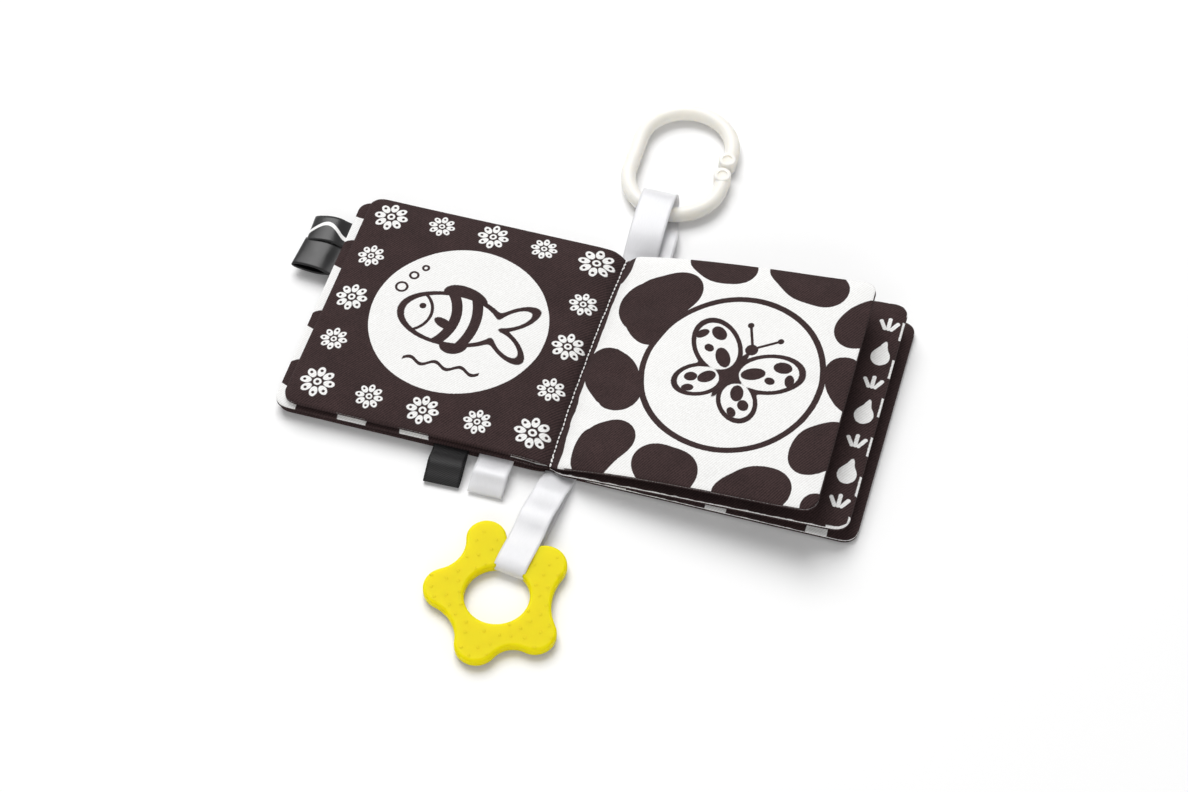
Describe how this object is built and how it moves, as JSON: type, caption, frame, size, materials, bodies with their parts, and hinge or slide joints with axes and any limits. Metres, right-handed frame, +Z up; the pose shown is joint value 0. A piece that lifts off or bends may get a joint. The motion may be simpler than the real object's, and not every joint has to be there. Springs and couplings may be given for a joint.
{
  "type": "cloth book with teether",
  "caption": "Padded cloth baby book lying open, with ribbon tabs, a plastic link ring and a chewing ring on ribbon straps.",
  "frame": {"origin": "on the resting plane under the sewn fold, half way along the spine", "axes": "+X across the right-hand leaves, +Y along the spine towards the link ring, +Z up"},
  "size_m": [0.2994, 0.3439, 0.0322],
  "materials": {
    "printed_cloth": "smooth woven cloth, printed in dark brown-black and white",
    "white_satin": "white satin ribbon",
    "black_ribbon": "black satin and ribbed ribbon",
    "ivory_plastic": "moulded, slightly glossy",
    "yellow_rubber": "soft moulded yellow, small raised dots"
  },
  "bodies": {
    "book": {"back_cover_leaf": "printed_cloth", "right_middle_leaf": "printed_cloth", "right_inner_leaf": "printed_cloth", "cover_spine": "printed_cloth", "middle_spine": "printed_cloth", "sewn_fold": "printed_cloth", "ring_strap": "white_satin", "teether_strap": "white_satin"},
    "front_half": {"front_cover_leaf": "printed_cloth", "left_middle_leaf": "printed_cloth", "left_inner_leaf": "printed_cloth", "striped_tab": "black_ribbon", "wide_tab": "black_ribbon", "grosgrain_tab": "black_ribbon", "satin_tab": "white_satin"},
    "link_ring": {"link_ring": "ivory_plastic"},
    "teether": {"teether": "yellow_rubber"}
  },
  "joints": [
    {"name": "front_cover", "type": "hinge", "parent": "book", "child": "front_half", "pos_m": [0, 0, 0.0125], "axis": [0, 1, 0], "range_deg": [0, 170]},
    {"name": "link_ring_swing", "type": "hinge", "parent": "book", "child": "link_ring", "pos_m": [0.01025, 0.099, 0.0047], "axis": [1, 0, 0], "range_deg": [0, 110], "deforming": ["ring_strap"]},
    {"name": "teether_swing", "type": "hinge", "parent": "book", "child": "teether", "pos_m": [-0.0036, -0.0988, 0.0008], "axis": [-1, 0, 0], "range_deg": [0, 90], "deforming": ["teether_strap"]}
  ]
}
